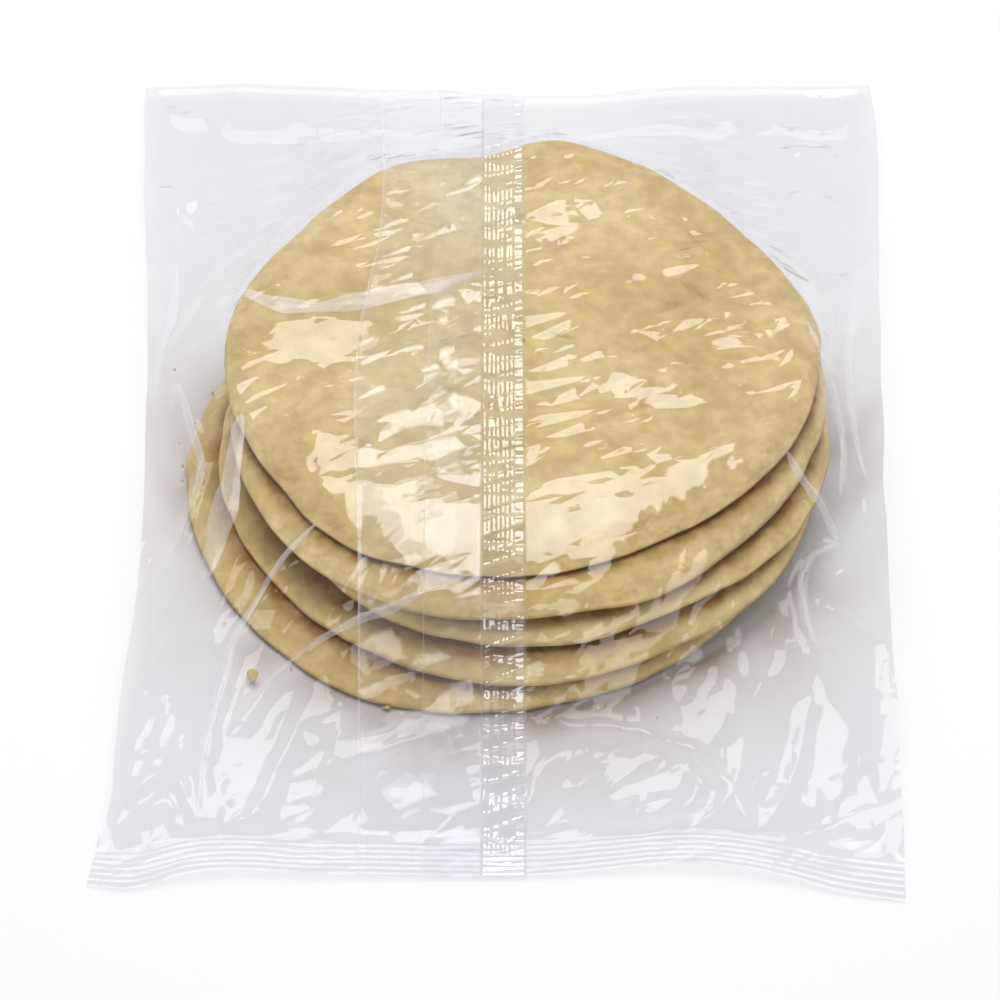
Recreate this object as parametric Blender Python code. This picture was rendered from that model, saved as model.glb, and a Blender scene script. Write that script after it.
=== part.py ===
"""A sealed clear film bag lying flat with a stack of five round flatbreads inside.

The bag is one closed solid. Its upper sheet is a membrane relaxed over the stack, and its lower
sheet is one relaxed between the side creases, the underside of the stack and the table. Both
sheets meet in a crimped seal at the near end and in one that slopes down at the far end. The sheet
grid has one parameter across the bag and one along it. Metres, +Z up, +Y towards the far end.
"""

import bmesh
import bpy
import numpy as np

# Flatbreads, from the table up: centre x, centre y and share of the common radius
BREAD_RADIUS = 0.0875
BREAD_THICKNESS = 0.0095
STACK = [
    (-0.0045, -0.006, 1.03),
    (0.0035, -0.006, 1.00),
    (0.0085, 0.000, 1.00),
    (0.0080, 0.002, 1.00),
    (0.0065, 0.011, 1.00),
]
FILM_CLEARANCE = 0.0006

# Bag outline: pairs of place and offset along each side, read through a smooth curve
NEAR_Y = -0.154
FAR_Y = 0.155
SEAL_WIDTH = 0.012
LEFT_SIDE = [(-0.154, -0.1160), (-0.138, -0.1130), (-0.090, -0.1090), (-0.028, -0.1055),
             (0.050, -0.1055), (0.093, -0.1080), (0.137, -0.1105), (0.165, -0.1105)]
RIGHT_SIDE = [(-0.154, 0.1130), (-0.138, 0.1134), (-0.035, 0.1122), (0.050, 0.1135),
              (0.093, 0.1155), (0.140, 0.1165), (0.165, 0.1145)]
NEAR_BOW = [(-0.116, -0.003), (-0.104, -0.0045), (-0.088, -0.0005), (-0.050, 0.000), (0.010, 0.000),
            (0.056, 0.0025), (0.078, -0.001), (0.094, -0.0055), (0.114, -0.009)]
FAR_BOW = [(-0.110, 0.0005), (-0.089, 0.0015), (-0.033, -0.001), (0.031, -0.003), (0.046, 0.000),
           (0.075, 0.0005), (0.114, 0.0015)]
BOW_REACH = 0.030
# Heights of the side creases along the bag, and of the near seal across it
CREASE_HEIGHT = [(-0.154, 0.001), (-0.130, 0.003), (-0.085, 0.009), (-0.030, 0.019), (0.020, 0.022),
                 (0.070, 0.020), (0.120, 0.014), (0.155, 0.012)]
NEAR_SEAL_HEIGHT = [(-0.116, 0.0004), (-0.104, 0.0010), (-0.088, 0.0030), (-0.050, 0.0022),
                    (0.005, 0.0012), (0.030, 0.0022), (0.060, 0.0040), (0.080, 0.0026),
                    (0.098, 0.0010), (0.114, 0.0004)]
FAR_CREST_HEIGHT = 0.0125
FAR_SEAL_SLOPE = np.radians(43)

# Film: thickness of the closed seals, ribs pressed into them, and the back seam folded to the left
WALL = 0.0012
RIB_HEIGHT = 0.0004
NEAR_RIBS = 5
FAR_RIBS = 2
SEAM_LEFT = -0.042
SEAM_RIGHT = 0.007
SEAM_HEIGHT = 0.0008
SEAM_BLEND = 0.003

# Creases that stand up from the upper sheet: start, end, height and half width
CREASES = [
    ((-0.058, -0.050), (-0.092, -0.128), 0.0050, 0.008),
    ((-0.010, -0.068), (-0.086, -0.104), 0.0042, 0.007),
    ((-0.084, 0.020), (-0.098, -0.070), 0.0045, 0.007),
    ((0.008, -0.106), (0.058, -0.112), 0.0045, 0.008),
    ((0.056, -0.110), (0.073, -0.142), 0.0048, 0.008),
    ((0.078, -0.046), (0.098, -0.094), 0.0060, 0.009),
    ((0.068, -0.142), (0.090, -0.106), 0.0040, 0.007),
    ((-0.100, -0.126), (-0.056, -0.136), 0.0040, 0.007),
    ((-0.086, -0.136), (-0.068, -0.102), 0.0045, 0.008),
    ((-0.045, -0.130), (-0.006, -0.108), 0.0036, 0.008),
    ((-0.102, 0.140), (-0.060, 0.078), 0.0048, 0.008),
    ((-0.104, 0.104), (-0.076, 0.052), 0.0036, 0.007),
    ((0.106, 0.142), (0.068, 0.086), 0.0044, 0.008),
    ((0.106, 0.070), (0.090, 0.010), 0.0038, 0.007),
]

# Grid of the sheets and the relaxation that drapes them
COLUMNS = 46
BODY_ROWS = 54
RELAX_STEPS = 4000
AIR_LIFT = 1.5       # curvature in 1/m that the air left inside gives the upper sheet
FILM_SAG = -40.0     # curvature in 1/m that its own weight gives the lower sheet

FILM_COLOUR = (0.83, 0.80, 0.72, 1.0)
FILM_ROUGHNESS = 0.22


def smooth_curve(keys, at):
    """A cubic curve through (place, value) pairs, flat beyond both ends."""
    place, value = np.array(keys).T
    slope = np.gradient(value, place)
    at = np.clip(at, place[0], place[-1])
    k = np.clip(np.searchsorted(place, at, side="right") - 1, 0, len(place) - 2)
    step = place[k + 1] - place[k]
    t = (at - place[k]) / step
    return ((1 + 2 * t) * (1 - t) ** 2 * value[k] + t * (1 - t) ** 2 * step * slope[k]
            + t * t * (3 - 2 * t) * value[k + 1] + t * t * (t - 1) * step * slope[k + 1])


def smooth_step(low, high, at):
    t = np.clip((at - low) / (high - low), 0, 1)
    return t * t * (3 - 2 * t)


def bread_profile(distance, radius):
    """Height of a flatbread above its own middle plane: flat, with a round rim of half its thickness."""
    half = BREAD_THICKNESS / 2
    past_flat = np.clip(distance - (radius - half), 0, half)
    return np.sqrt(half ** 2 - past_flat ** 2)


def stack_top(x, y):
    """Height of the stack at each point, and zero beside it."""
    top = np.zeros_like(x)
    for level, (cx, cy, share) in enumerate(STACK):
        radius = BREAD_RADIUS * share
        distance = np.hypot(x - cx, y - cy)
        height = (level + 0.5) * BREAD_THICKNESS + bread_profile(distance, radius)
        top = np.where(distance < radius, np.maximum(top, height), top)
    return top


def stack_underside(x, y):
    """Height that the lower sheet can't pass: the underside of the lowest flatbread."""
    cx, cy, share = STACK[0]
    radius = BREAD_RADIUS * share
    distance = np.hypot(x - cx, y - cy)
    under = BREAD_THICKNESS / 2 - bread_profile(distance, radius)
    return np.where(distance < radius, under, np.inf)


def relax(height, lowest, highest, curvature, across, along):
    """Stretches a sheet between its fixed rim, kept between two limits, by repeated averaging."""
    weight_across = 1 / across ** 2
    weight_along = 1 / along ** 2
    total = 2 * (weight_across + weight_along)
    for _ in range(RELAX_STEPS):
        mean = (weight_across * (height[:-2, 1:-1] + height[2:, 1:-1])
                + weight_along * (height[1:-1, :-2] + height[1:-1, 2:]) + curvature) / total
        height[1:-1, 1:-1] = np.clip(mean, lowest[1:-1, 1:-1], highest[1:-1, 1:-1])
    return height


def body_rows():
    """Nominal y of each row: ribbed near seal, body, and far crest."""
    near = np.linspace(NEAR_Y, NEAR_Y + SEAL_WIDTH, 2 * NEAR_RIBS + 1)
    body = np.linspace(NEAR_Y + SEAL_WIDTH, FAR_Y, BODY_ROWS + 1)
    return np.concatenate([near, body[1:]])


def plan():
    """x and y of the sheet's grid up to the far crest, indexed [column, row]."""
    rows = body_rows()
    share = np.linspace(0, 1, COLUMNS + 1)[:, None]
    left = smooth_curve(LEFT_SIDE, rows)
    right = smooth_curve(RIGHT_SIDE, rows)
    x = left + (right - left) * share
    y = rows + np.zeros_like(x)
    near = smooth_curve(NEAR_BOW, x) * np.exp(-(y - NEAR_Y) / BOW_REACH)
    far = smooth_curve(FAR_BOW, x) * np.exp(-(FAR_Y - y) / BOW_REACH)
    return x, y + near + far


def crease_relief(x, y):
    """Sharp-crested ridges along the named creases, fading towards both ends."""
    relief = np.zeros_like(x)
    for (x0, y0), (x1, y1), height, half_width in CREASES:
        length = np.hypot(x1 - x0, y1 - y0)
        ux, uy = (x1 - x0) / length, (y1 - y0) / length
        along = ((x - x0) * ux + (y - y0) * uy) / length
        off = np.abs((y - y0) * ux - (x - x0) * uy)
        fade = np.sin(np.pi * np.clip(along, 0, 1)) ** 0.5
        relief = np.maximum(relief, height * fade * np.clip(1 - off / half_width, 0, 1))
    return relief


def seam_relief(x):
    """The back seam's folded margin, which doubles the film over a strip beside the middle."""
    rise = smooth_step(SEAM_LEFT - SEAM_BLEND, SEAM_LEFT, x)
    fall = smooth_step(SEAM_RIGHT, SEAM_RIGHT + SEAM_BLEND, x)
    return SEAM_HEIGHT * (rise - fall)


def sheets():
    """Lower and upper sheet up to the far crest, as arrays of points indexed [column, row]."""
    x, y = plan()
    first = 2 * NEAR_RIBS
    crease = smooth_curve(CREASE_HEIGHT, y)
    rim = np.zeros_like(x, bool)
    rim[[0, -1], :] = rim[:, -1] = True
    rim[:, :first + 1] = True
    fixed = np.where(np.isin(np.arange(x.shape[1]), np.arange(first + 1)),
                     smooth_curve(NEAR_SEAL_HEIGHT, x), crease)
    fixed[:, -1] = FAR_CREST_HEIGHT
    ends = smooth_step(0, 0.02, FAR_Y - y[[0, -1], :])
    fixed[[0, -1], :] = FAR_CREST_HEIGHT + (fixed[[0, -1], :] - FAR_CREST_HEIGHT) * ends

    body = np.s_[:, first:]
    across = (x[-1, 0] - x[0, 0]) / COLUMNS
    along = (FAR_Y - NEAR_Y - SEAL_WIDTH) / BODY_ROWS
    bounds = np.where(rim, fixed, 0.0)
    no_limit = np.full_like(x, np.inf)
    floor = np.zeros_like(x)
    under = stack_underside(x, y)
    lower = bounds.copy()
    lower[body] = relax(bounds[body].copy(), floor[body], under[body], FILM_SAG, across, along)
    on_stack = np.where(rim, fixed, stack_top(x, y) + FILM_CLEARANCE)
    upper = bounds + np.where(rim, WALL, 0.0)
    upper[body] = relax(upper[body].copy(), on_stack[body], no_limit[body], AIR_LIFT, across, along)

    inside = smooth_step(0, 0.02, y - (NEAR_Y + SEAL_WIDTH)) * smooth_step(0, 0.02, FAR_Y - y)
    inside = inside * np.where(rim, 0.0, 1.0)
    upper = upper + inside * crease_relief(x, y) + np.where(rim, 0.0, 1.0) * seam_relief(x)
    upper = np.maximum(upper, lower + WALL)
    ribs = np.zeros(x.shape[1])
    ribs[1:first:2] = RIB_HEIGHT
    upper = upper + ribs
    lower = lower + ribs
    return np.stack([x, y, lower], -1), np.stack([x, y, upper], -1)


def far_seal(lower, upper):
    """Adds the far seal, which slopes down and away from the crest, to both sheets."""
    run, drop = np.cos(FAR_SEAL_SLOPE), np.sin(FAR_SEAL_SLOPE)
    steps = np.arange(1, 2 * FAR_RIBS + 2) / (2 * FAR_RIBS + 1) * SEAL_WIDTH
    middle = (lower[:, -1:] + upper[:, -1:]) / 2
    ribs = RIB_HEIGHT * (np.arange(len(steps)) % 2 == 0)
    centre = middle + steps[:, None] * np.array([0, run, -drop])
    normal = np.array([0, drop, run])
    below = centre + (ribs - WALL / 2)[:, None] * normal
    above = centre + (ribs + WALL / 2)[:, None] * normal
    return np.concatenate([lower, below], 1), np.concatenate([upper, above], 1)


def film_material():
    """Glossy film over pale bread, as one plain colour."""
    material = bpy.data.materials.new("film")
    material.use_nodes = True
    shader = material.node_tree.nodes["Principled BSDF"]
    shader.inputs["Base Color"].default_value = FILM_COLOUR
    shader.inputs["Roughness"].default_value = FILM_ROUGHNESS
    shader.inputs["Metallic"].default_value = 0.0
    return material


def build_bag(collection):
    """A flat grid is extruded into two sheets with a rim, and each sheet takes its worked-out place."""
    lower, upper = far_seal(*sheets())
    columns, rows = lower.shape[0] - 1, lower.shape[1] - 1
    mesh = bpy.data.meshes.new("clear_bag")
    bm = bmesh.new()
    bmesh.ops.create_grid(bm, x_segments=columns, y_segments=rows, size=1.0)
    place = bm.verts.layers.int.new("place")
    for vert in bm.verts:
        column = round((vert.co.x + 1) / 2 * columns)
        row = round((vert.co.y + 1) / 2 * rows)
        vert[place] = column * (rows + 1) + row
    grown = bmesh.ops.extrude_face_region(bm, geom=bm.faces[:])
    raised = {item for item in grown["geom"] if isinstance(item, bmesh.types.BMVert)}
    for vert in bm.verts:
        column, row = divmod(vert[place], rows + 1)
        sheet = upper if vert in raised else lower
        vert.co = sheet[column, row]
    bmesh.ops.recalc_face_normals(bm, faces=bm.faces[:])
    flat = [face for face in bm.faces if max(vert.co.z for vert in face.verts) < 1e-7]
    bmesh.ops.dissolve_faces(bm, faces=flat, use_verts=True)
    bm.verts.layers.int.remove(place)
    bm.to_mesh(mesh)
    bm.free()
    mesh.shade_smooth()
    mesh.set_sharp_from_angle(angle=np.radians(40))
    bag = bpy.data.objects.new("clear_bag", mesh)
    mesh.materials.append(film_material())
    collection.objects.link(bag)
    return bag


def main():
    for old in list(bpy.data.objects):
        bpy.data.objects.remove(old)
    collection = bpy.data.collections.new("flatbread_pack")
    bpy.context.scene.collection.children.link(collection)
    build_bag(collection)


main()
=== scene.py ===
"""A sealed clear film bag with a stack of five round flatbreads in it, lying on a pale floor.

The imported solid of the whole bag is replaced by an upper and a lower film, the seam along the
middle, loose pleats, five flatbreads and the crumbs they shed. Metres, +Z up, +Y to the far end.
"""

import bpy
import numpy as np
from mathutils import Matrix, Vector


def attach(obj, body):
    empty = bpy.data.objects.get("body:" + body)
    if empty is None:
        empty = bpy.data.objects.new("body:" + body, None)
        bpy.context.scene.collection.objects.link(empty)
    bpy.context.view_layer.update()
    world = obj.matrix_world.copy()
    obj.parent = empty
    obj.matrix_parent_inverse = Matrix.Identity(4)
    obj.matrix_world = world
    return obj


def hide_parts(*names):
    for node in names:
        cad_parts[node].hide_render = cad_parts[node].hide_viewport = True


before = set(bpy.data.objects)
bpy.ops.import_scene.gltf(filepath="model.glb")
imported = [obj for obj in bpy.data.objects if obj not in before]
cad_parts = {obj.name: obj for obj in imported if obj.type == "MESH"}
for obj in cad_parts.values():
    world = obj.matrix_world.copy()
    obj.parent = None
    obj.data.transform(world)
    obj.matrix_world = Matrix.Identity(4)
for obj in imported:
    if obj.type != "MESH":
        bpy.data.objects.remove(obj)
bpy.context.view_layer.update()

# Stack, from the table up: centre, and outline as pairs of angle in degrees and radius
PITCH = 0.0095
BREAD_GAP = 0.0002
CROWN = 18.0          # how squarely a bread's upper face meets its rim
UNDER_CROWN = 40.0    # the same of its lower face
WIDEST = -0.7         # where a bread is widest, as a share of its half thickness
CENTRES = [(-0.0045, -0.006), (0.0035, -0.006), (0.0085, 0.000), (0.0080, 0.002), (0.0065, 0.011)]
OUTLINES = [
    [(-160, 0.0868), (-136, 0.0872), (-114, 0.0890), (-83, 0.0866), (-60, 0.0872), (-20, 0.0890),
     (30, 0.0890), (90, 0.0900), (135, 0.0900), (168, 0.0895)],
    [(-170, 0.0858), (-145, 0.0828), (-121, 0.0824), (-105, 0.0836), (-89, 0.0857), (-58, 0.0846),
     (-32, 0.0885), (0, 0.0890), (60, 0.0870), (120, 0.0885)],
    [(-165, 0.0828), (-140, 0.0818), (-120, 0.0850), (-100, 0.0855), (-83, 0.0842), (-60, 0.0828),
     (-40, 0.0860), (-18, 0.0880), (40, 0.0862), (95, 0.0880), (150, 0.0872)],
    [(-160, 0.0882), (-140, 0.0902), (-122, 0.0900), (-92, 0.0856), (-79, 0.0841), (-70, 0.0852),
     (-44, 0.0818), (-25, 0.0835), (-5, 0.0868), (50, 0.0880), (110, 0.0865)],
    [(-170, 0.0873), (-147, 0.0864), (-124, 0.0889), (-100, 0.0866), (-71, 0.0823), (-46, 0.0827),
     (-24, 0.0857), (-8, 0.0867), (6, 0.0878), (21, 0.0850), (38, 0.0828), (51, 0.0846),
     (73, 0.0895), (84, 0.0908), (97, 0.0835), (115, 0.0885), (130, 0.0857), (143, 0.0842), (167, 0.0872)],
]
STACK_MIDDLE = (0.004, 0.0)
# How far the top bread's upper face droops at its near rim, over what width, and all round
FRONT_DROOP = 0.0050
DROOP_WIDTH = 0.026
SIDE_DROOP = 0.0008
# On the top bread: raised blisters and dents, as x, y, half length, half width, turn in degrees, height
BLISTERS = [(-0.0520, -0.0180, 0.0130, 0.0080, 70, 0.0007), (0.0480, -0.0040, 0.0170, 0.0120, 20, 0.0006),
            (-0.0200, 0.0420, 0.0190, 0.0130, 0, 0.0005), (0.0300, 0.0560, 0.0150, 0.0110, 30, 0.0006),
            (0.0650, 0.0180, 0.0110, 0.0090, 80, 0.0006), (-0.0050, -0.0350, 0.0160, 0.0110, 10, 0.0005)]
DENTS = [(0.0570, 0.0330, 0.0070, 0.0012, -50, 0.0011), (0.0510, 0.0260, 0.0090, 0.0013, 30, 0.0010),
         (0.0430, -0.0100, 0.0100, 0.0012, 75, 0.0007), (0.0180, 0.0130, 0.0050, 0.0009, -20, 0.0006),
         (-0.0330, 0.0600, 0.0080, 0.0014, 15, 0.0006), (-0.0560, 0.0150, 0.0070, 0.0012, 40, 0.0005)]

# Bag outline: pairs of place and offset, read through a smooth curve
NEAR_Y = -0.154
FAR_Y = 0.155
SEAL_WIDTH = 0.012
LEFT_SIDE = [(-0.154, -0.1160), (-0.138, -0.1130), (-0.090, -0.1085), (-0.058, -0.1050), (-0.028, -0.1041),
             (0.000, -0.1045), (0.050, -0.1055), (0.093, -0.1080), (0.137, -0.1105), (0.165, -0.1105)]
RIGHT_SIDE = [(-0.154, 0.1130), (-0.138, 0.1134), (-0.035, 0.1122), (0.050, 0.1135),
              (0.093, 0.1155), (0.140, 0.1165), (0.165, 0.1145)]
NEAR_BOW = [(-0.116, -0.003), (-0.104, -0.0045), (-0.088, -0.0005), (-0.050, 0.000), (0.010, 0.000),
            (0.056, 0.0025), (0.078, -0.001), (0.094, -0.0055), (0.114, -0.009)]
FAR_BOW = [(-0.110, 0.0005), (-0.089, 0.0015), (-0.033, -0.001), (0.031, -0.003), (0.046, 0.000),
           (0.075, 0.0005), (0.114, 0.0015)]
BOW_REACH = 0.030
CREASE_HEIGHT = [(-0.154, 0.001), (-0.130, 0.003), (-0.085, 0.009), (-0.030, 0.019), (0.020, 0.022),
                 (0.070, 0.020), (0.120, 0.014), (0.155, 0.012)]
NEAR_SEAL_HEIGHT = [(-0.116, 0.0004), (-0.104, 0.0010), (-0.088, 0.0030), (-0.050, 0.0022),
                    (0.005, 0.0012), (0.030, 0.0022), (0.060, 0.0040), (0.080, 0.0026),
                    (0.098, 0.0010), (0.114, 0.0004)]
FAR_CREST_HEIGHT = 0.0125
FAR_SEAL_SLOPE = np.radians(43)

# Film grid, its lift from the air inside and its sag, in 1/m, and its distance from what it covers
COLUMNS = 280
NEAR_ROWS = 48
BODY_ROWS = 296
FAR_ROWS = 12
LOWER_SHARE = 2       # the lower film has this many times fewer columns and rows
COARSEST = 8
RELAX_STEPS = 500
AIR_LIFT = 1.5
FILM_SAG = -150.0
FILM_CLEARANCE = 0.0005
FILM_THICKNESS = 0.0002
RIB_HEIGHT = 0.00028
RIB_WIDTH = 0.55      # as a share of their spacing
NEAR_RIBS = 6
FAR_RIBS = 2

# Seam along the middle, and the free edges of its two margins, folded to the left
SEAM_RIGHT = 0.0072
SEAM_LEFT = -0.0058
WIDE_EDGE = [(-0.150, -0.0402), (-0.070, -0.0407), (0.009, -0.0417), (0.050, -0.0364), (0.150, -0.0373)]
NARROW_EDGE = [(-0.150, -0.0219), (-0.080, -0.0221), (0.010, -0.0210), (0.070, -0.0185), (0.150, -0.0190)]
LADDER_PITCH = 0.0026
RUNG_PITCH = 0.0030
CROSS_PITCH = 0.0041
BLOCK_LENGTH = 0.0086
LADDER_HEIGHT = 0.00015
RUNG_HEIGHT = 0.00017
BLOCK_HEIGHT = 0.0014
CROSS_HEIGHT = 0.00035
SEAM_LIFT = 0.0004

# Sharp ridges of the upper film: points along it, height and half width, all in metres
RIDGES = [
    ([(-0.052, -0.054), (-0.063, -0.065), (-0.075, -0.085), (-0.082, -0.109), (-0.085, -0.134)],
     0.0034, 0.0045),
    ([(-0.014, -0.078), (-0.040, -0.085), (-0.064, -0.097), (-0.076, -0.112)], 0.0030, 0.0040),
    ([(-0.096, 0.012), (-0.089, -0.015), (-0.086, -0.027), (-0.092, -0.046), (-0.101, -0.060)],
     0.0026, 0.0036),
    ([(-0.078, 0.020), (-0.081, -0.008), (-0.086, -0.027)], 0.0018, 0.0030),
    ([(0.080, -0.026), (0.087, -0.036), (0.094, -0.043), (0.098, -0.050)], 0.0032, 0.0045),
    ([(0.098, -0.050), (0.090, -0.057), (0.086, -0.066), (0.088, -0.078), (0.092, -0.088)], 0.0026, 0.0036),
    ([(0.092, -0.070), (0.103, -0.073), (0.110, -0.074)], 0.0018, 0.0030),
    ([(0.006, -0.110), (0.020, -0.114), (0.040, -0.116), (0.054, -0.119), (0.065, -0.128), (0.071, -0.141)],
     0.0028, 0.0042),
    ([(0.056, -0.141), (0.066, -0.129), (0.070, -0.112)], 0.0022, 0.0040),
    ([(0.074, -0.141), (0.084, -0.120), (0.088, -0.100)], 0.0024, 0.0042),
    ([(-0.054, -0.103), (-0.060, -0.116), (-0.068, -0.135)], 0.0030, 0.0048),
    ([(-0.012, -0.112), (-0.030, -0.118), (-0.048, -0.122)], 0.0026, 0.0050),
    ([(-0.113, -0.141), (-0.108, -0.130), (-0.098, -0.123), (-0.090, -0.128), (-0.085, -0.141)],
     0.0030, 0.0045),
    ([(-0.106, -0.141), (-0.101, -0.134), (-0.094, -0.132), (-0.090, -0.140)], 0.0024, 0.0040),
    ([(-0.104, 0.146), (-0.092, 0.134), (-0.078, 0.112), (-0.066, 0.092)], 0.0026, 0.0045),
    ([(-0.106, 0.110), (-0.098, 0.090), (-0.090, 0.058)], 0.0022, 0.0040),
    ([(0.108, 0.146), (0.100, 0.118), (0.090, 0.092), (0.078, 0.072)], 0.0026, 0.0045),
    ([(0.110, 0.080), (0.104, 0.050), (0.101, 0.010), (0.103, -0.030)], 0.0022, 0.0038),
    ([(0.104, -0.010), (0.108, -0.040), (0.110, -0.060)], 0.0020, 0.0036),
    ([(-0.100, 0.060), (-0.100, 0.030), (-0.102, -0.010)], 0.0022, 0.0040),
]
# Loose swells of the film, longer on their near side:
# x, y, half length, half width, turn in degrees, height
SWELLS = [
    (-0.0570, 0.0110, 0.0230, 0.0110, 2, 0.0034), (-0.0130, -0.0200, 0.0120, 0.0085, -20, 0.0028),
    (-0.0110, 0.0020, 0.0085, 0.0075, 35, 0.0026), (-0.0080, 0.0280, 0.0150, 0.0070, 40, 0.0026),
    (-0.0190, 0.0560, 0.0080, 0.0060, 30, 0.0018), (0.0200, 0.0630, 0.0150, 0.0095, 28, 0.0034),
    (0.0300, 0.0370, 0.0130, 0.0070, 20, 0.0022), (0.0140, 0.0160, 0.0120, 0.0055, 12, 0.0017),
    (0.0500, -0.0130, 0.0130, 0.0090, 12, 0.0019), (0.0700, 0.0150, 0.0110, 0.0050, 25, 0.0015),
    (-0.0480, -0.0330, 0.0120, 0.0080, -10, 0.0020), (-0.0330, 0.0330, 0.0110, 0.0050, 8, 0.0014),
    (-0.0900, 0.1230, 0.0150, 0.0110, -25, 0.0036), (-0.0960, 0.0960, 0.0080, 0.0110, 10, 0.0032),
    (0.0960, 0.1100, 0.0100, 0.0120, 20, 0.0034), (-0.0950, 0.0560, 0.0060, 0.0120, 0, 0.0036),
    (0.0380, -0.0080, 0.0090, 0.0060, -15, 0.0014), (0.0560, 0.0440, 0.0100, 0.0050, 30, 0.0014),
]
# Loose pleats on the upper film: points along the middle, full width and height of the arch
PLEATS = [
    ([(-0.0530, -0.0560), (-0.0626, -0.0631), (-0.0700, -0.0735), (-0.0775, -0.0880), (-0.0815, -0.1050),
      (-0.0843, -0.1190), (-0.0858, -0.1380)], 0.0030, 0.0010),
    ([(-0.0756, -0.0160), (-0.0780, -0.0338), (-0.0810, -0.0480), (-0.0857, -0.0630)], 0.0075, 0.0016),
    ([(-0.0164, -0.0780), (-0.0286, -0.0821), (-0.0450, -0.0868), (-0.0600, -0.0940), (-0.0709, -0.1030)],
     0.0026, 0.0009),
    ([(-0.0780, 0.0340), (-0.0678, 0.0260), (-0.0545, 0.0225), (-0.0400, 0.0250), (-0.0208, 0.0308),
      (-0.0060, 0.0365)], 0.0066, 0.0008),
    ([(-0.0950, 0.0080), (-0.0896, -0.0146), (-0.0868, -0.0270), (-0.0934, -0.0484)], 0.0026, 0.0009),
    ([(0.0826, -0.0300), (0.0875, -0.0360), (0.0928, -0.0415), (0.0975, -0.0495)], 0.0034, 0.0012),
    ([(0.0976, -0.0500), (0.0905, -0.0555), (0.0868, -0.0640), (0.0872, -0.0750), (0.0910, -0.0850)],
     0.0028, 0.0010),
    ([(0.0900, 0.0200), (0.0965, 0.0020), (0.1000, -0.0160), (0.0985, -0.0330)], 0.0026, 0.0010),
    ([(0.1040, 0.0350), (0.1022, 0.0080), (0.1062, -0.0240)], 0.0022, 0.0008),
    ([(-0.0990, 0.0700), (-0.0975, 0.0480), (-0.1000, 0.0260)], 0.0030, 0.0008),
]

# Crumbs: how many, their smallest and largest radius, and one large one in the photograph
CRUMBS = 46
CRUMB_RADII = (0.0002, 0.0008)
LARGE_CRUMB = (-0.0716, -0.0800, 0.0019)

# Small flat facets of the film's finish: their size and how far they are drawn out, their heading,
# and the slopes and mirror spacings of the larger and the finer ones
FACET_SIZE = 0.0062
FACET_STRETCH = 2.2
FACET_HEADING = 0.40
FACET_SLOPES = (0.24, 0.17)
FACET_SPACINGS = (1.0, 1.2, 0.9, 0.50, 0.42, 0.55)
LARGER_FACET_FOLD = 2

# Camera: azimuth 0 and 47 degrees down, far away with a long lens
CAMERA_PLACE = (-0.0002, -1.3166, 1.4029)
CAMERA_TILT = np.radians(43)
LENS_MM = 233.4
SENSOR_MM = 36.0


def smooth_step(low, high, at):
    """Zero up to low, one from high on, and 3tt - 2ttt between them."""
    t = np.clip((at - low) / (high - low), 0, 1)
    return t * t * (3 - 2 * t)


def smooth_curve(keys, at):
    """A cubic curve through (place, value) pairs, flat beyond both ends."""
    place, value = np.array(keys).T
    slope = np.gradient(value, place)
    at = np.clip(at, place[0], place[-1])
    k = np.clip(np.searchsorted(place, at, side="right") - 1, 0, len(place) - 2)
    step = place[k + 1] - place[k]
    t = (at - place[k]) / step
    return ((1 + 2 * t) * (1 - t) ** 2 * value[k] + t * (1 - t) ** 2 * step * slope[k]
            + t * t * (3 - 2 * t) * value[k + 1] + t * t * (t - 1) * step * slope[k + 1])


def round_curve(keys, degrees):
    """A cubic curve through (angle, value) pairs that closes after 360 degrees."""
    turned = [(angle + turn, value) for turn in (-360, 0, 360) for angle, value in keys]
    return smooth_curve(turned, degrees)


def lattice_noise(x, y, cell, seed):
    """Random heights from -1 to 1 at the corners of square cells, blended between them by 3tt - 2ttt."""
    table = np.random.default_rng(seed).uniform(-1, 1, (256, 256))
    u, v = x / cell, y / cell
    i, j = np.floor(u).astype(int), np.floor(v).astype(int)
    s, t = u - i, v - j
    s, t = s * s * (3 - 2 * s), t * t * (3 - 2 * t)
    low = table[i & 255, j & 255] * (1 - s) + table[(i + 1) & 255, j & 255] * s
    high = table[i & 255, (j + 1) & 255] * (1 - s) + table[(i + 1) & 255, (j + 1) & 255] * s
    return low * (1 - t) + high * t


def folded(x, y, size, seed, folds=4, heading=0.0, stretch=1.0):
    """Height of a sheet crumpled into flat facets: the plane is turned, shifted and mirrored about
    parallel lines again and again, and what is left of its first coordinate is the height.
    Its slope is one everywhere, divided by `stretch` along `heading`."""
    rng = np.random.default_rng(seed)
    u = (x * np.cos(heading) + y * np.sin(heading)) / (size * stretch)
    v = (y * np.cos(heading) - x * np.sin(heading)) / size
    for _ in range(folds):
        angle = rng.uniform(0, np.pi)
        period = rng.uniform(0.8, 1.5)
        shift_u, shift_v = rng.uniform(0, 2, 2)
        turned_u = u * np.cos(angle) - v * np.sin(angle) + shift_u
        v = u * np.sin(angle) + v * np.cos(angle) + shift_v
        u = turned_u
        u = np.abs((u / period) % 2 - 1) * period
    return (u - 0.5) * size


def higher_of(first, second, blend):
    """The higher of two heights, with the corner where they cross rounded off over about `blend`."""
    return (first + second + np.sqrt((first - second) ** 2 + blend ** 2)) / 2


def add_piece(name, points, faces, material):
    """One smooth-shaded mesh piece at the origin, riding on the only body."""
    mesh = bpy.data.meshes.new(name)
    mesh.from_pydata(points.reshape(-1, 3), [], faces)
    mesh.materials.append(material)
    mesh.shade_smooth()
    piece = bpy.data.objects.new(name, mesh)
    bpy.context.scene.collection.objects.link(piece)
    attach(piece, "root")
    return piece


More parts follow.
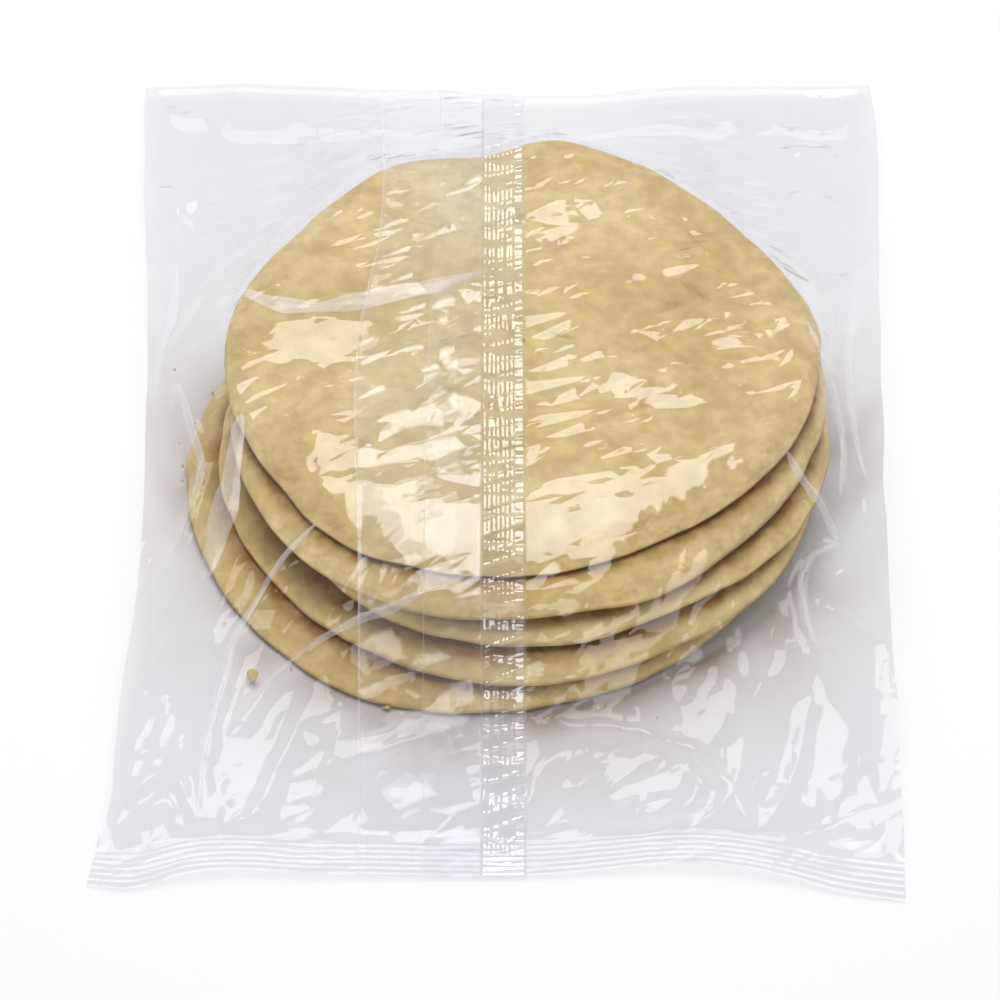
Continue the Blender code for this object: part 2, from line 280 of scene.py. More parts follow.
def grid_faces(rows, columns, closed=False):
    """Quads of a grid of points indexed [row, column]; a closed one joins its last column to its first."""
    index = np.arange(rows * columns).reshape(rows, columns)
    if closed:
        index = np.concatenate([index, index[:, :1]], 1)
    return np.stack([index[:-1, :-1], index[:-1, 1:], index[1:, 1:], index[1:, :-1]], -1).reshape(-1, 4)


# Flatbreads
def outline_radius(level, x, y):
    """Distance and outline radius, both seen from a bread's own centre."""
    cx, cy = CENTRES[level]
    angle = np.degrees(np.arctan2(y - cy, x - cx))
    return np.hypot(x - cx, y - cy), round_curve(OUTLINES[level], angle)


def oval(x, y, spot):
    """Squared distance from a spot's middle, which is one on its oval edge."""
    cx, cy, half_length, half_width, turn, _ = spot
    turn = np.radians(turn)
    u = (x - cx) * np.cos(turn) + (y - cy) * np.sin(turn)
    v = (y - cy) * np.cos(turn) - (x - cx) * np.sin(turn)
    return (u / half_length) ** 2 + (v / half_width) ** 2


def wrinkles(x, y):
    """One in the middle of the fine creases of the top bread's skin: a bell curve of the distance
    from the fold lines of a crumpled sheet, in scattered patches."""
    away = folded(x, y, 0.016, 63, folds=2) + 0.008
    return np.exp(-(away / 0.0011) ** 2) * smooth_step(-0.1, 0.5, lattice_noise(x, y, 0.026, 64) + 4 * x)


def face_between(level, x, y):
    """Height of the face between two breads: their pitch, lumps, and waves that grow towards the rim."""
    mx, my = STACK_MIDDLE
    turn = np.arctan2(y - my, x - mx)
    towards_rim = smooth_step(0.050, 0.090, np.hypot(x - mx, y - my))
    lumps = 0.0006 * lattice_noise(x, y, 0.030, 40 + level)
    lumps = lumps + 0.0003 * lattice_noise(x, y, 0.013, 50 + level)
    waves = 0.0008 * np.sin(2 * turn + 1.9 * level) + 0.0008 * np.sin(5 * turn + 2.6 * level)
    height = level * PITCH + (lumps + towards_rim * waves) * min(level, 1)
    if level == len(CENTRES):
        distance, radius = outline_radius(level - 1, x, y)
        droop = np.clip(1 - (radius - distance) / DROOP_WIDTH, 0, 1) ** 2 * smooth_step(-0.030, -0.060, y)
        height = height - FRONT_DROOP * droop - SIDE_DROOP * towards_rim - 0.0006 * wrinkles(x, y)
        height = height + 0.00026 * lattice_noise(x, y, 0.0065, 61)
        height = height + 0.00008 * lattice_noise(x, y, 0.0026, 62)
        for spot in BLISTERS:
            d = oval(x, y, spot)
            height = height + spot[-1] * (np.exp(-d * d) - 0.7 * np.exp(-((d - 1.15) / 0.22) ** 2))
        for spot in DENTS:
            height = height - 2.0 * spot[-1] * np.exp(-2 * oval(x, y, spot))
    return height + FILM_THICKNESS


def bread_height(level, x, y, lift):
    """Height of a bread at a share `lift` of its half thickness, from -1 below to 1 above."""
    low, high = face_between(level, x, y), face_between(level + 1, x, y)
    return (low + high) / 2 + lift * ((high - low) / 2 - BREAD_GAP)


def bread_section(inner, rim):
    """Shares of radius and of half thickness down a section, from the top's middle to the bottom's:
    radius share to the power CROWN plus height share squared is one, with UNDER_CROWN below, both
    counted from the height WIDEST."""
    start = 0.86
    phi = np.linspace(np.arcsin(start ** (CROWN / 2)), np.pi / 2, rim)
    flat = np.linspace(0, start, inner, endpoint=False)
    top_radius = np.concatenate([flat, np.sin(phi) ** (2 / CROWN)])
    top_lift = np.concatenate([np.sqrt(1 - flat ** CROWN), np.cos(phi)])
    phi = np.linspace(np.pi / 2, np.arcsin(start ** (UNDER_CROWN / 2)), rim // 2)[1:]
    flat = np.linspace(start, 0, inner // 2)[1:]
    under_radius = np.concatenate([np.sin(phi) ** (2 / UNDER_CROWN), flat])
    under_lift = -np.concatenate([np.cos(phi), np.sqrt(1 - flat ** UNDER_CROWN)])
    lift = np.concatenate([WIDEST + (1 - WIDEST) * top_lift, WIDEST + (1 + WIDEST) * under_lift])
    return np.concatenate([top_radius, under_radius]), lift


def build_bread(level, material):
    """A bread as rings of points round its centre, from the middle of the top to that of the underside."""
    top = level == len(CENTRES) - 1
    share, lift = bread_section(*((120, 26) if top else (40, 22)))
    around = 420 if top else 320
    degrees = np.linspace(-180, 180, around, endpoint=False)
    rim_x, rim_y = 0.09 * np.cos(np.radians(degrees)), 0.09 * np.sin(np.radians(degrees))
    knobs = 0.0005 * lattice_noise(rim_x, rim_y, 0.011, 30 + level)
    radius = (round_curve(OUTLINES[level], degrees) + knobs) * share[:, None]
    x = CENTRES[level][0] + radius * np.cos(np.radians(degrees))
    y = CENTRES[level][1] + radius * np.sin(np.radians(degrees))
    rim_pores = 0.00018 * lattice_noise(x * 3 + y, y * 3 - x + share[:, None] * 0.05, 0.012, 70 + level)
    z = bread_height(level, x, y, lift[:, None]) + rim_pores * (1 - np.abs(lift[:, None]))
    rings = np.stack([x, y, z], -1)
    poles = rings[[0, -1]].mean(1)
    points = np.concatenate([poles[:1], rings[1:-1].reshape(-1, 3), poles[1:]])
    quads = grid_faces(len(share) - 2, around, closed=True)[:, ::-1] + 1
    ahead = np.arange(around)
    after = (ahead + 1) % around
    last = len(points) - 1
    first_ring = 1 + np.stack([ahead, after], -1)
    last_ring = last - around + np.stack([after, ahead], -1)
    cap = [[0, a, b] for a, b in first_ring.tolist()] + [[last, a, b] for a, b in last_ring.tolist()]
    piece = add_piece(f"flatbread_{level + 1}", points, quads[:, ::-1].tolist() + cap, material)
    lift = np.concatenate([[1.0], np.repeat(lift[1:-1], around), [-1.0]])
    x, y = points[:, 0], points[:, 1]
    # Painted shade in the dents and fine creases of the top bread, stored for the material
    painted_crease_shade = sum(np.exp(-2 * oval(x, y, spot)) for spot in DENTS) + 0.8 * wrinkles(x, y)
    for name, values in (("painted_gap_shade", painted_gap_shade(level, x, y, lift)), ("painted_crease_shade", painted_crease_shade * top)):
        shade = piece.data.attributes.new(name, "FLOAT", "POINT")
        shade.data.foreach_set("value", values)
    return piece


def painted_gap_shade(level, x, y, lift):
    """Share of painted shade: one where another bread or the table covers a bread's face, fading out past
    its rim and down this bread's own rim, and half at the widest part of the rim and below it."""
    upper_side = lift > WIDEST
    shade = np.where(upper_side, 0.0, 1.0)
    for side, other in ((True, level + 1), (False, level - 1)):
        if 0 <= other < len(CENTRES):
            distance, radius = outline_radius(other, x, y)
            shade = np.where(upper_side == side, smooth_step(0.0056, -0.0012, distance - radius), shade)
    shade = shade * np.where(upper_side, smooth_step(0.10, 0.70, lift), smooth_step(-0.80, -0.97, lift))
    # Painted shade at half strength on the lower, downward-facing part of every rim
    return np.maximum(shade, 0.5 * smooth_step(-0.35, WIDEST, lift))


def stack_top(x, y):
    """Height of the stack at each point, and zero beside it."""
    top = np.zeros_like(x)
    for level in range(len(CENTRES)):
        distance, radius = outline_radius(level, x, y)
        share = np.clip(distance / radius, 0, 1)
        height = bread_height(level, x, y, np.sqrt(1 - share ** CROWN))
        top = np.where(share < 1, np.maximum(top, height), top)
    return top


def stack_underside(x, y):
    """Height that the lower film can't pass: the underside of the lowest bread."""
    distance, radius = outline_radius(0, x, y)
    share = np.clip(distance / radius, 0, 1)
    under = bread_height(0, x, y, -np.sqrt(1 - share ** UNDER_CROWN))
    return np.where(share < 1, under, np.inf)


# Film
def film_plan(columns, nominal_y):
    """x and y of a film's grid up to the far crest, indexed [column, row]."""
    share = np.linspace(0, 1, columns + 1)[:, None]
    zeros = 0 * nominal_y
    left = smooth_curve(LEFT_SIDE, nominal_y) + 0.0005 * lattice_noise(nominal_y, zeros, 0.021, 81)
    right = smooth_curve(RIGHT_SIDE, nominal_y) + 0.0005 * lattice_noise(nominal_y, zeros, 0.019, 82)
    x = left + (right - left) * share
    y = nominal_y + np.zeros_like(x)
    near = smooth_curve(NEAR_BOW, x) * np.exp(-(y - NEAR_Y) / BOW_REACH)
    far = smooth_curve(FAR_BOW, x) * np.exp(-(FAR_Y - y) / BOW_REACH)
    return x, y + near + far


def body_rim(x, y):
    """Heights of the film body's rim on all four sides, and nothing inside it."""
    height = np.zeros_like(x)
    towards_end = smooth_step(0, 0.02, FAR_Y - y[[0, -1], :])
    crease = smooth_curve(CREASE_HEIGHT, y[[0, -1], :])
    height[[0, -1], :] = FAR_CREST_HEIGHT + (crease - FAR_CREST_HEIGHT) * towards_end
    height[:, -1] = FAR_CREST_HEIGHT + 0.0006 * lattice_noise(x[:, -1], 0 * x[:, -1], 0.016, 83)
    height[:, 0] = smooth_curve(NEAR_SEAL_HEIGHT, x[:, 0])
    return height


def relaxed(height, lowest, highest, lift, across, along, steps):
    """A sheet stretched inside its fixed rim, kept between two limits, by repeated averaging."""
    weight_across, weight_along = 1 / across ** 2, 1 / along ** 2
    total = 2 * (weight_across + weight_along)
    for _ in range(steps):
        mean = (weight_across * (height[:-2, 1:-1] + height[2:, 1:-1])
                + weight_along * (height[1:-1, :-2] + height[1:-1, 2:]) + lift) / total
        height[1:-1, 1:-1] = np.clip(mean, lowest[1:-1, 1:-1], highest[1:-1, 1:-1])
    return height


def doubled(height):
    """The same sheet on a grid of twice as many columns and rows."""
    fine = np.zeros((2 * height.shape[0] - 1, 2 * height.shape[1] - 1))
    fine[::2, ::2] = height
    fine[1::2, ::2] = (height[:-1] + height[1:]) / 2
    fine[:, 1::2] = (fine[:, :-2:2] + fine[:, 2::2]) / 2
    return fine


def film_body(lift, over_stack, finest):
    """A film draped over or pulled under the stack, on finer and finer grids."""
    height = None
    factor = COARSEST
    while factor >= finest:
        columns, rows = COLUMNS // factor, BODY_ROWS // factor
        x, y = film_plan(columns, np.linspace(NEAR_Y + SEAL_WIDTH, FAR_Y, rows + 1))
        rim = body_rim(x, y)
        lowest = stack_top(x, y) + FILM_CLEARANCE if over_stack else np.zeros_like(x)
        highest = np.full_like(x, np.inf) if over_stack else stack_underside(x, y) - FILM_THICKNESS / 2
        height = rim.copy() if height is None else doubled(height)
        for edge in (np.s_[0, :], np.s_[-1, :], np.s_[:, 0], np.s_[:, -1]):
            height[edge] = rim[edge]
        across, along = (x[-1, 0] - x[0, 0]) / columns, (FAR_Y - NEAR_Y - SEAL_WIDTH) / rows
        height = relaxed(height, lowest, highest, lift, across, along, RELAX_STEPS)
        factor //= 2
    return x, y, height


def path_frame(x, y, points):
    """Each point's share along a path of straight pieces and its distance from it."""
    points = np.array(points)
    steps = np.diff(points, axis=0)
    lengths = np.hypot(*steps.T)
    best = np.full(x.shape, np.inf)
    along = np.zeros_like(x)
    done = 0.0
    for (px, py), (dx, dy), length in zip(points, steps, lengths):
        t = np.clip(((x - px) * dx + (y - py) * dy) / length ** 2, 0, 1)
        away = np.hypot(x - px - t * dx, y - py - t * dy)
        nearer = away < best
        best = np.where(nearer, away, best)
        along = np.where(nearer, (done + t * length) / lengths.sum(), along)
        done += length
    return along, best


def ridge_relief(x, y):
    """Sharp-crested ridges that fade towards both ends, each with one steep and one long side."""
    relief = np.zeros_like(x)
    for points, height, half_width in RIDGES:
        along, away = path_frame(x, y, points)
        fade = np.sin(np.pi * np.clip(along, 0.02, 0.98)) ** 0.5
        relief = np.maximum(relief, height * fade * np.clip(1 - away / half_width, 0, 1) ** 1.3)
    return relief


def swell_relief(x, y):
    """Low swells: along its length each falls off as one minus the square, and across it is a ramp,
    long on the near side and short on the far side."""
    relief = np.zeros_like(x)
    for cx, cy, half_length, half_width, turn, height in SWELLS:
        c, s = np.cos(np.radians(turn)), np.sin(np.radians(turn))
        u = ((x - cx) * c + (y - cy) * s) / half_length
        v = ((y - cy) * c - (x - cx) * s) / half_width
        ramp = np.minimum((v + 1) / 1.5, (1 - v) / 0.5)
        relief = np.maximum(relief, height * np.clip(1 - u ** 2, 0, 1) ** 0.7 * np.clip(ramp, 0, 1))
    return relief


def pressed(x, y):
    """How crumpled the film is: one where it lies on the top bread, two thirds where it hangs free."""
    distance, radius = outline_radius(len(CENTRES) - 1, x, y)
    return 1 - 0.35 * smooth_step(-0.002, 0.012, distance - radius)


def painted_shadow(x, y, levels, fade):
    """Painted shadow of some breads on a film beside them, warm from their bounce light: most at their
    outline, fading exponentially, and more towards the near right."""
    beyond = np.full_like(x, np.inf)
    for level in levels:
        distance, radius = outline_radius(level, x, y)
        beyond = np.minimum(beyond, distance - radius)
    nearer = 7.0 * np.maximum(-y - 0.03, 0) * (1 + 10 * x)
    painted_shadow_depth = 0.45 + 0.3 * lattice_noise(x, y, 0.012, 93) + nearer
    return painted_shadow_depth * np.exp(-np.maximum(beyond, 0) / fade) * smooth_step(-0.003, 0.001, beyond)


def upper_relief(x, y):
    """Crumples of the upper film: three sizes of facet and the ridges where it hangs free, flatter
    behind the stack, small facets, drawn out across the bag, where it lies on the top bread, and
    the swells all over."""
    distance, radius = outline_radius(len(CENTRES) - 1, x, y)
    free = smooth_step(-0.004, 0.014, distance - radius)
    patches = smooth_step(-0.1, 0.5, lattice_noise(x, y, 0.024, 91))
    wide = 0.10 * folded(x, y, 0.034, 101, folds=3, heading=1.35, stretch=1.6)
    middle = 0.20 * folded(x, y, 0.013, 102, folds=4, heading=1.2, stretch=1.5)
    on_bread = 0.08 * folded(x, y, 0.018, 104, folds=4, heading=0.25, stretch=2.2)
    on_bread = on_bread + 0.16 * patches * folded(x, y, 0.009, 105, folds=3, heading=0.4, stretch=2.4)
    fine = 0.14 * folded(x, y, 0.0062, 106, folds=4, heading=1.0, stretch=1.5)
    behind = 1 - 0.95 * smooth_step(0.03, 0.07, y) * smooth_step(0.092, 0.080, abs(x))
    past_far_rim = smooth_step(-0.003, 0.001, distance - radius) * smooth_step(0.03, 0.06, y)
    on_bread = (1 - free) * taut(x, y) * (1 - past_far_rim) * on_bread
    return free * behind * (wide + middle + fine + ridge_relief(x, y)) + on_bread + swell_relief(x, y)


def taut(x, y):
    """A quarter where the film bends smoothly over the top bread's near rim, and one elsewhere."""
    distance, radius = outline_radius(len(CENTRES) - 1, x, y)
    bend = smooth_step(0.026, 0.018, radius - distance) * smooth_step(-0.006, 0.002, radius - distance)
    return 1 - 0.75 * bend * smooth_step(-0.025, -0.050, y)


def seal_ribs(x, share, ribs):
    """Narrow sharp ridges pressed across a seal, evenly spaced, deeper in some stretches than in others."""
    away = np.abs((ribs * share) % 1 - 0.5)
    stretches = lattice_noise(x, np.floor(ribs * share) * 0.01 + 0 * x, 0.018, 85)
    depth = 0.5 + 0.5 * smooth_step(-0.5, 0.3, stretches)
    return RIB_HEIGHT * depth * np.clip(1 - away / (RIB_WIDTH / 2), 0, 1)


def with_seals(x, y, body, thickness, finest):
    """Adds the near seal before a film's body and the far one, which slopes down, after it."""
    near_share = np.linspace(0, 1, NEAR_ROWS // finest + 1)[:-1]
    near_x, near_y = film_plan(x.shape[0] - 1, NEAR_Y + near_share * SEAL_WIDTH)
    near_z = smooth_curve(NEAR_SEAL_HEIGHT, near_x) + seal_ribs(near_x, near_share, NEAR_RIBS) + thickness
    far_share = np.linspace(0, 1, FAR_ROWS // finest + 1)[1:]
    reach = far_share * SEAL_WIDTH
    far_x = x[:, -1:] + 0 * far_share
    raised = seal_ribs(far_x, far_share, FAR_RIBS) + thickness
    far_y = y[:, -1:] + reach * np.cos(FAR_SEAL_SLOPE) + raised * np.sin(FAR_SEAL_SLOPE)
    far_z = body[:, -1:] - reach * np.sin(FAR_SEAL_SLOPE) + raised * np.cos(FAR_SEAL_SLOPE)
    sheets = [np.stack([near_x, near_y, near_z], -1), np.stack([x, y, body], -1),
              np.stack([far_x, far_y, far_z], -1)]
    return np.concatenate(sheets, 1)


def store_finish(piece, points, cut=0.0):
    """Stores for a film's material how crumpled it is at each point, where it is sealed or cut, and
    where it isn't covered by the seam that it is welded to."""
    x, y = points[..., 0], points[..., 1]
    far = FAR_Y + np.interp(x, *np.array(FAR_BOW).T) - 0.0010
    near = NEAR_Y + SEAL_WIDTH + np.interp(x, *np.array(NEAR_BOW).T)
    sealed = np.maximum(smooth_step(0.0004, -0.0004, y - near), smooth_step(-0.0004, 0.0004, y - far))
    sealed = np.maximum(sealed, cut)
    outside = np.maximum(smooth_step(SEAM_LEFT + 0.0004, SEAM_LEFT - 0.0004, x),
                         smooth_step(SEAM_RIGHT - 0.0004, SEAM_RIGHT + 0.0004, x))
    for name, values in (("pressed", pressed(x, y)), ("sealed", sealed), ("outside_seam", outside),
                         ("taut", taut(x, y))):
        shares = piece.data.attributes.new(name, "FLOAT", "POINT")
        shares.data.foreach_set("value", values.astype(np.float32).ravel())


def build_films(material, plain_material):
    """The upper and the lower film, which meet along the sides and in both seals."""
    x, y, lower = film_body(FILM_SAG, False, LOWER_SHARE)
    distance, radius = outline_radius(0, x, y)
    beside = smooth_step(0.0, 0.010, distance - radius) * inside_rim(x, y)
    slopes = 0.10 + 0.30 * smooth_step(0.095, 0.115, y)
    lower = lower + slopes * beside * folded(x, y, 0.020, 111, folds=4, heading=1.3, stretch=1.4)
    lower = higher_of(lower, 0, 0.0009 * beside)
    lower_points = with_seals(x, y, lower, 0.0, LOWER_SHARE)
    faces = grid_faces(*lower_points.shape[:2])
    film_lower = add_piece("film_lower", lower_points, faces.tolist(), plain_material)
    # Painted shadow of the stack, warm from the breads, stored on the lower film
    shares = film_lower.data.attributes.new("painted_shadow", "FLOAT", "POINT")
    shares.data.foreach_set("value", painted_shadow(*lower_points[..., :2].T, (0, 1, 2, 3), 0.016).T.ravel())

    x, y, upper = film_body(AIR_LIFT, True, 1)
    rim = inside_rim(x, y)
    upper = upper + rim * upper_relief(x, y)
    top = stack_top(x, y) + FILM_CLEARANCE
    upper = np.maximum(upper, top)
    blend = 0.0012 * rim * smooth_step(0.0, 0.010, upper - top)
    upper = higher_of(upper, doubled(lower) + FILM_THICKNESS, blend)
    upper_points = with_seals(x, y, upper, FILM_THICKNESS, 1)
    faces = grid_faces(*upper_points.shape[:2])[:, ::-1]
    film_upper = add_piece("film_upper", upper_points, faces.tolist(), material)
    store_finish(film_upper, upper_points)
    return upper_points, lower_points, film_upper


def inside_rim(x, y):
    """One inside a film's body, falling to zero at its rim."""
    sides = smooth_step(0, 0.007, x - x[:1]) * smooth_step(0, 0.007, x[-1:] - x)
    return sides * smooth_step(0, 0.004, y - y[:, :1]) * smooth_step(0, 0.004, y[:, -1:] - y)


def on_film(film, x, rows):
    """Points of the upper film at the given x, on fractional rows of its grid."""
    columns = film.shape[0] - 1
    k = np.clip(rows.astype(int), 0, film.shape[1] - 2)
    t = (rows - k)[..., None]
    line = film[:, k] * (1 - t) + film[:, k + 1] * t
    left, right = line[0, :, 0], line[-1, :, 0]
    place = np.clip((x - left) / (right - left), 0, 1) * columns
    c = np.clip(place.astype(int), 0, columns - 1)
    s = (place - c)[..., None]
    across = np.arange(len(rows))
    return line[c, across] * (1 - s) + line[c + 1, across] * s


def film_height(film, x, y):
    """Height of the upper film at scattered points, from the nearest columns and rows of its grid."""
    rows = np.zeros_like(x)
    middle = film[film.shape[0] // 2, :, 1]
    for _ in range(3):
        place = on_film(film, x, rows)
        rows = rows + np.interp(y, middle, np.arange(len(middle))) - np.interp(place[:, 1], middle,
                                                                               np.arange(len(middle)))
        rows = np.clip(rows, 0, film.shape[1] - 1.001)
    return on_film(film, x, rows)[:, 2]


# Seam and pleats
def seam_strip(film, start, left_edge, columns, rows):
    """Points of the upper film between a start and a free edge on its left."""
    last = film.shape[1] - 1 - FAR_ROWS
    row = np.linspace(0, last, rows)
    y = film[film.shape[0] // 2, :, 1]
    edge = smooth_curve(left_edge, np.interp(row, np.arange(len(y)), y))
    share = np.linspace(0, 1, columns)
    strip = np.stack([on_film(film, start + (edge - start) * s, row) for s in share])
    return strip, share[:, None]


def build_seam(film, wide_material, narrow_material, seam_material):
    """Two loose margins folded to the left, and the ribbed band that joins them to the bag."""
    for name, edge, seed, lift, slope, material in (
            ("seam_margin_wide", WIDE_EDGE, 121, 0.0003, 0.16, wide_material),
            ("seam_margin_narrow", NARROW_EDGE, 122, 0.0006, 0.20, narrow_material)):
        strip, share = seam_strip(film, SEAM_LEFT + 0.0006, edge, 80, film.shape[1])
        x, y = strip[..., 0], strip[..., 1]
        body = smooth_step(NEAR_Y + SEAL_WIDTH, NEAR_Y + SEAL_WIDTH + 0.015, y)
        billowing = body * (1 - smooth_step(0.070, 0.092, y))
        billow = folded(x, y, 0.014, seed, folds=3, heading=0.3, stretch=1.4) + 0.005
        curl = 0.0004 * smooth_step(0.965, 1.0, share)
        raised = np.maximum(billow, 0) * smooth_step(0.0, 0.5, share) * billowing
        strip[..., 2] += lift + slope * raised + curl * body
        piece = add_piece(name, strip, grid_faces(*strip.shape[:2]).tolist(), material)
        store_finish(piece, strip, 2.4 * smooth_step(0.975, 0.990, share))

    left_edge = [(-0.15, SEAM_LEFT), (0.15, SEAM_LEFT)]
    strip, share = seam_strip(film, SEAM_RIGHT, left_edge, 90, 3 * film.shape[1])
    x, y = strip[..., 0], strip[..., 1]
    wander = 0.0012 * lattice_noise(y, x, 0.012, 131)
    at_right = smooth_step(0.25, 0.21, share)
    lines = np.sin(2 * np.pi * (x + 0.1 * wander) / LADDER_PITCH) * (1 - at_right)
    rungs = np.sin(2 * np.pi * (y + 0.3 * wander) / RUNG_PITCH) * at_right
    place = ((y + wander + 0.08 * x) / BLOCK_LENGTH + 0.5 * lattice_noise(y, 0 * y, 0.030, 132)) % 1
    blocks = np.minimum(place / 0.72, (1 - place) / 0.28)
    blocks = blocks * smooth_step(-0.8, -0.1, lattice_noise(y, 0 * y, 0.013, 133))
    across = np.abs(((y + wander - 0.25 * x) / CROSS_PITCH) % 1 - 0.5)
    relief = LADDER_HEIGHT * lines + RUNG_HEIGHT * rungs + BLOCK_HEIGHT * blocks
    relief = relief + CROSS_HEIGHT * np.clip(1 - across / 0.12, 0, 1)
    rim = smooth_step(0, 0.06, share) * smooth_step(0, 0.06, 1 - share)
    strip[..., 2] += (SEAM_LIFT + relief * smooth_step(NEAR_Y, NEAR_Y + SEAL_WIDTH, y)) * rim
    faces = grid_faces(*strip.shape[:2]).tolist()
    store_finish(add_piece("back_seam", strip, faces, seam_material), strip)


def build_pleats(film, material):
    """Narrow arched ribbons of doubled film: a smooth line along the pleat, and an arch across it
    that is highest at a third of its width and dies out at both ends."""
    sheets, faces, used = [], [], 0
    for number, (points, width, height) in enumerate(PLEATS):
        points = np.array(points)
        length = np.concatenate([[0], np.cumsum(np.hypot(*np.diff(points, axis=0).T))])
        along = np.linspace(0, 1, 90)
        px = smooth_curve(list(zip(length, points[:, 0])), along * length[-1])
        py = smooth_curve(list(zip(length, points[:, 1])), along * length[-1])
        tangent = np.stack([np.gradient(px), np.gradient(py)])
        tangent = tangent / np.hypot(*tangent)
        across = np.linspace(-1, 1, 13)[:, None]
        taper = np.sin(np.pi * np.clip(along, 0.004, 0.996)) ** 0.45
        taper = taper * (1 + 0.25 * lattice_noise(along * 0.1, 0 * along, 0.012, 140 + number))
        x = px - tangent[1] * across * width / 2 * taper
        y = py + tangent[0] * across * width / 2 * taper
        arch = np.clip(1 - np.abs(across - 0.3) / (1 + 0.3 * np.sign(0.3 - across)), 0, 1)
        base = film_height(film, x.ravel(), y.ravel()).reshape(x.shape)
        z = base + 0.00025 + height * taper * arch
        sheets.append(np.stack([x, y, z], -1).reshape(-1, 3))
        faces += (grid_faces(*x.shape)[:, ::-1] + used).tolist()
        used += x.size
    return add_piece("film_pleats", np.concatenate(sheets), faces, material)


# Crumbs
def build_crumbs(film, lower, material):
    """Small lumps lying on the lower film beside the stack, each a ball with uneven radius."""
    rng = np.random.default_rng(151)
    turn = rng.uniform(-np.pi, np.pi, CRUMBS)
    out = rng.exponential(0.006, CRUMBS) + 0.002
    x = STACK_MIDDLE[0] + (0.091 + out) * np.cos(turn)
    y = STACK_MIDDLE[1] + (0.091 + out) * np.sin(turn)
    radius = rng.uniform(*CRUMB_RADII, CRUMBS)
    room = film_height(film, x, y) - film_height(lower, x, y)
    inside = (np.abs(x) < 0.098) & (room > 3 * radius + 0.002)
    x, y, radius = x[inside], y[inside], radius[inside]
    x, y, radius = (np.append(v, extra) for v, extra in zip((x, y, radius), LARGE_CRUMB))
    bed = film_height(lower, x, y)
    polar = np.linspace(0, np.pi, 6)[:, None]
    around = np.linspace(0, 2 * np.pi, 8, endpoint=False)
    ball = np.stack([np.sin(polar) * np.cos(around), np.sin(polar) * np.sin(around),
                     np.cos(polar) + 0 * around], -1)
    sheets, faces, used = [], [], 0
    for cx, cy, r, ground in zip(x, y, radius, bed):
        rings = ball[1:-1] * r * rng.uniform(0.65, 1.15, ball[1:-1].shape[:2])[..., None]
        points = np.concatenate([[[0, 0, r]], rings.reshape(-1, 3), [[0, 0, -r]]])
        points = points + np.array([cx, cy, ground + FILM_THICKNESS * 2 + r * 1.05])
        last = len(points) - 1
        ahead, after = np.arange(8), (np.arange(8) + 1) % 8
        faces += (grid_faces(4, 8, closed=True)[:, ::-1] + 1 + used).tolist()
        faces += (np.stack([0 * ahead, ahead + 1, after + 1], -1) + used).tolist()
        faces += (np.stack([0 * ahead + last, last - 8 + after, last - 8 + ahead], -1) + used).tolist()
        sheets.append(points)
        used += len(points)
    return add_piece("crumbs", np.concatenate(sheets), faces, material)


# Materials
def nodes_of(name):
    """An empty material, its tree, its output and its Object coordinates."""
    material = bpy.data.materials.new(name)
    material.use_nodes = True
    tree = material.node_tree
    tree.nodes.clear()
    output = tree.nodes.new("ShaderNodeOutputMaterial")
    coordinates = tree.nodes.new("ShaderNodeTexCoord")
    return material, tree, output, coordinates.outputs["Object"]


def noise_node(tree, where, scale, detail=3.0, roughness=0.5):
    """Smooth noise from 0 to 1."""
    noise = tree.nodes.new("ShaderNodeTexNoise")
    noise.inputs["Scale"].default_value = scale
    noise.inputs["Detail"].default_value = detail
    noise.inputs["Roughness"].default_value = roughness
    tree.links.new(where, noise.inputs["Vector"])
    return noise.outputs["Fac"]


def ramp_node(tree, value, stops):
    """A colour ramp from pairs of place and colour; a plain number stands for a grey."""
    ramp = tree.nodes.new("ShaderNodeValToRGB")
    while len(ramp.color_ramp.elements) < len(stops):
        ramp.color_ramp.elements.new(0.5)
    for element, (place, colour) in zip(ramp.color_ramp.elements, stops):
        element.position = place
        element.color = (*colour, 1) if isinstance(colour, tuple) else (colour, colour, colour, 1)
    tree.links.new(value, ramp.inputs["Fac"])
    return ramp.outputs["Color"]


def mix_node(tree, share, first, second, blend="MIX"):
    """Two colours mixed or multiplied."""
    mix = tree.nodes.new("ShaderNodeMix")
    mix.data_type = "RGBA"
    mix.blend_type = blend
    for value, socket in ((share, mix.inputs[0]), (first, mix.inputs[6]), (second, mix.inputs[7])):
        if isinstance(value, bpy.types.NodeSocket):
            tree.links.new(value, socket)
        else:
            socket.default_value = value
    return mix.outputs[2]


def math_node(tree, operation, *values):
    """One step of arithmetic on numbers or sockets."""
    node = tree.nodes.new("ShaderNodeMath")
    node.operation = operation
    for value, socket in zip(values, node.inputs):
        if isinstance(value, bpy.types.NodeSocket):
            tree.links.new(value, socket)
        else:
            socket.default_value = value
    return node.outputs[0]


def vector_node(tree, operation, *values):
    """The same on vectors."""
    node = tree.nodes.new("ShaderNodeVectorMath")
    node.operation = operation
    for value, socket in zip(values, node.inputs):
        if isinstance(value, bpy.types.NodeSocket):
            tree.links.new(value, socket)
        else:
            socket.default_value = value
    return node.outputs["Value" if operation == "DOT_PRODUCT" else "Vector"]


def attribute_node(tree, name):
    """A share that is stored on the mesh's points."""
    attribute = tree.nodes.new("ShaderNodeAttribute")
    attribute.attribute_name = name
    return attribute.outputs["Fac"]


def mix_shader(tree, share, first, second):
    """Two shaders mixed by a share of the second."""
    mix = tree.nodes.new("ShaderNodeMixShader")
    tree.links.new(share, mix.inputs[0])
    tree.links.new(first.outputs[0], mix.inputs[1])
    tree.links.new(second.outputs[0], mix.inputs[2])
    return mix


